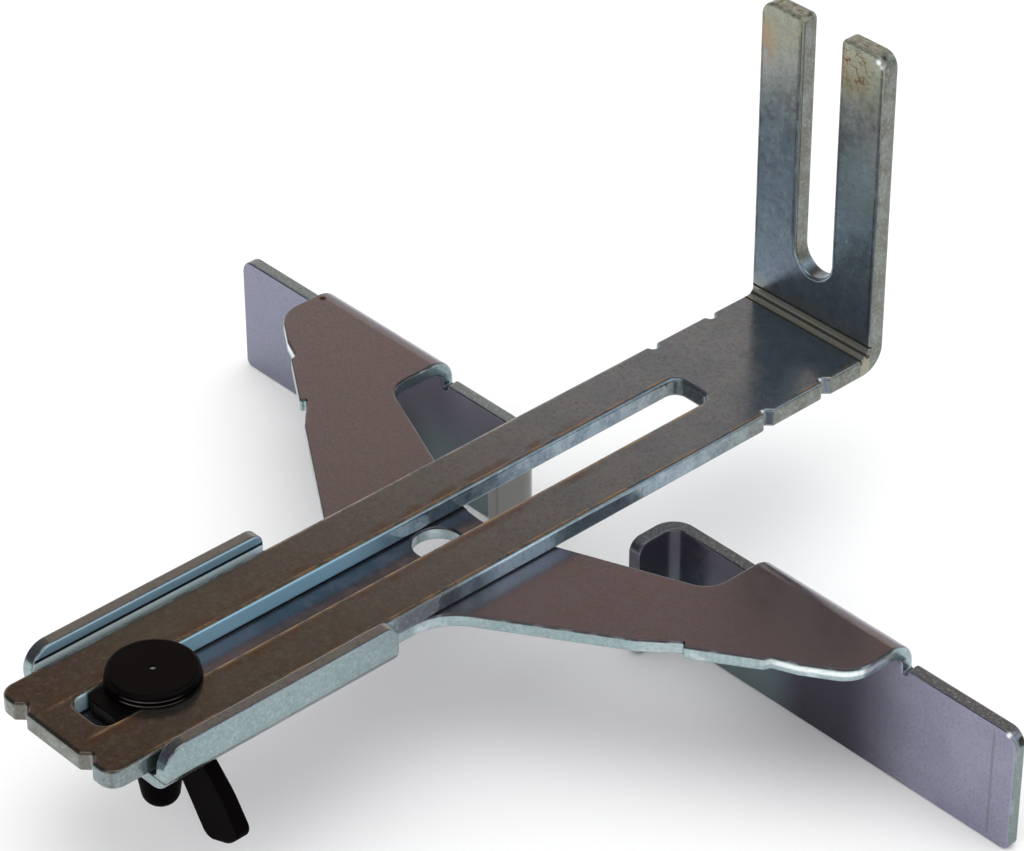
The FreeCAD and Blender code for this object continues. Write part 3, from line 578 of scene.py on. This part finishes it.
def plastic_material(name, roughness, shine):
    """Moulded black plastic with a fine grain."""
    n = Surface(name)
    cloud = n.noise(8.0, 3.0, 0.5, shift=3.0)
    lighter = tuple(c * 1.5 for c in CLAMP_BLACK)
    base = n.mix(n.ramp(cloud, 0.35, 0.7, 0.0, 0.6), CLAMP_BLACK, lighter)
    # a painted highlight: a pale spot at the bottom of the disc's dimple
    base = n.paint(base, (0.16, 0.16, 0.17), n.spot((0, CLAMP_Y, DIMPLE_Z), 0.45, 0.45))
    # a painted highlight on the lips of the groove round the disc, on its front right
    lips = n.any_of(*(n.band(n.z, lip, 0.05, 0.12) for lip in GROOVE_LIPS))
    forward = n.math("SUBTRACT", n.math("MULTIPLY", n.x, 1.2), n.math("ADD", n.y, -CLAMP_Y * MM))
    painted_lip_highlight = n.all_of(lips, n.step(forward, 12, 15.5), n.ramp(cloud, 0.4, 0.6, 0.3, 1.0))
    n.set("Base Color", n.paint(base, (0.20, 0.18, 0.17), painted_lip_highlight))
    n.set("Roughness", n.ramp(cloud, 0.3, 0.7, roughness, roughness + 0.1))
    n.set("Specular IOR Level", shine)
    n.set("Normal", n.bump(n.noise(0.5, 3.0, 0.6), 0.02, 0.4))
    return n.material


def dress(node, material):
    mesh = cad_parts[node].data
    mesh.materials.clear()
    mesh.materials.append(material)


def dress_part():
    dress("slide_bar", BarZinc().material)
    dress("fence_carriage", SheetZinc().material)
    dress("clamp_head", plastic_material("black_plastic", 0.34, 0.06))
    dress("wing_nut", plastic_material("nut_plastic", 0.42, 0.01))
    dress("clamp_bolt", steel_material("bolt_steel", ZINC))
    dress("clamp_washer", steel_material("washer_steel", ZINC))
    dress("nut_insert", steel_material("insert_brass", BRASS))


# ------------------------------------------------------------------- stage


def floor_material():
    n = Surface("floor")
    n.set("Base Color", (0.93, 0.93, 0.93))
    n.set("Roughness", 0.9)
    return n.material


def make_floor():
    half = 4.0
    corners = [(-half, -half, 0), (half, -half, 0), (half, half, 0), (-half, half, 0)]
    mesh = bpy.data.meshes.new("floor")
    mesh.from_pydata(corners, [], [(0, 1, 2, 3)])
    mesh.materials.append(floor_material())
    floor = bpy.data.objects.new("floor", mesh)
    bpy.context.scene.collection.objects.link(floor)


def towards(tree, direction, low, high, shape="SMOOTHSTEP"):
    """0 to 1 as the ray's direction comes nearer to a given one."""
    dot = tree.add("ShaderNodeVectorMath", operation="DOT_PRODUCT")
    tree.put(dot.inputs[0], tree.add("ShaderNodeTexCoord").outputs["Generated"])
    tree.put(dot.inputs[1], Vector(direction).normalized())
    return tree.ramp(dot.outputs["Value"], low, high, shape=shape)


def wall_colours(tree):
    """A brown wall that darkens upwards, from the horizon to straight up."""
    stops = (
        (0.00, (0.70, 0.70, 0.72)),
        (0.35, (0.80, 0.70, 0.62)),
        (0.50, (0.76, 0.58, 0.46)),
        (0.56, (0.58, 0.41, 0.31)),
        (0.61, (0.34, 0.20, 0.14)),
        (0.67, (0.14, 0.08, 0.06)),
        (0.80, (0.03, 0.03, 0.035)),
    )
    ramp = tree.add("ShaderNodeValToRGB")
    wall = ramp.color_ramp
    tree.put(ramp.inputs["Fac"], towards(tree, (0, 0, 1), 0.0, 1.0, "LINEAR"))
    for at, colour in stops[:-2]:
        wall.elements.new(at)
    for element, (at, colour) in zip(wall.elements, stops):
        element.position = at
        element.color = colour + (1,)
    return ramp.outputs["Color"]


def make_world():
    """A pale room for diffuse light; only reflections see its wall, bright and dark sides."""
    world = bpy.data.worlds.new("studio")
    bpy.context.scene.world = world
    world.use_nodes = True
    tree = Tree(world.node_tree)
    right = towards(tree, (0.85, 0.45, 0.25), 0.3, 0.9)
    seen = tree.mix(right, wall_colours(tree), (0.72, 0.78, 0.80))
    dark = towards(tree, (-0.55, -0.60, 0.58), 0.6, 0.9)
    seen = tree.mix(dark, seen, (0.03, 0.03, 0.035))
    is_diffuse = tree.add("ShaderNodeLightPath").outputs["Is Diffuse Ray"]
    colour = tree.mix(is_diffuse, seen, (1.12, 1.12, 1.12))
    background = tree.add("ShaderNodeBackground")
    tree.put(background.inputs["Color"], colour)
    tree.put(tree.add("ShaderNodeOutputWorld").inputs[0], background.outputs[0])


def area_light(name, place, target, size, power):
    data = bpy.data.lights.new(name, "AREA")
    data.shape = "RECTANGLE"
    data.size, data.size_y = size
    data.energy = power
    light = bpy.data.objects.new(name, data)
    light.location = place
    way = Vector(target) - Vector(place)
    light.rotation_euler = way.to_track_quat("-Z", "Y").to_euler()
    bpy.context.scene.collection.objects.link(light)


def make_light():
    area_light("overhead", (0.15, -0.1, 1.6), (0, 0, 0), (1.3, 1.3), 5)
    area_light("front", (0.2, -1.6, 1.1), (0, 0, 0.05), (1.2, 0.8), 2)
    area_light("right", (1.5, 0.5, 0.9), (0, 0, 0.05), (0.9, 0.9), 2)


make_camera()
make_floor()
make_world()
make_light()
dress_part()

bpy.context.scene.view_settings.view_transform = "Standard"
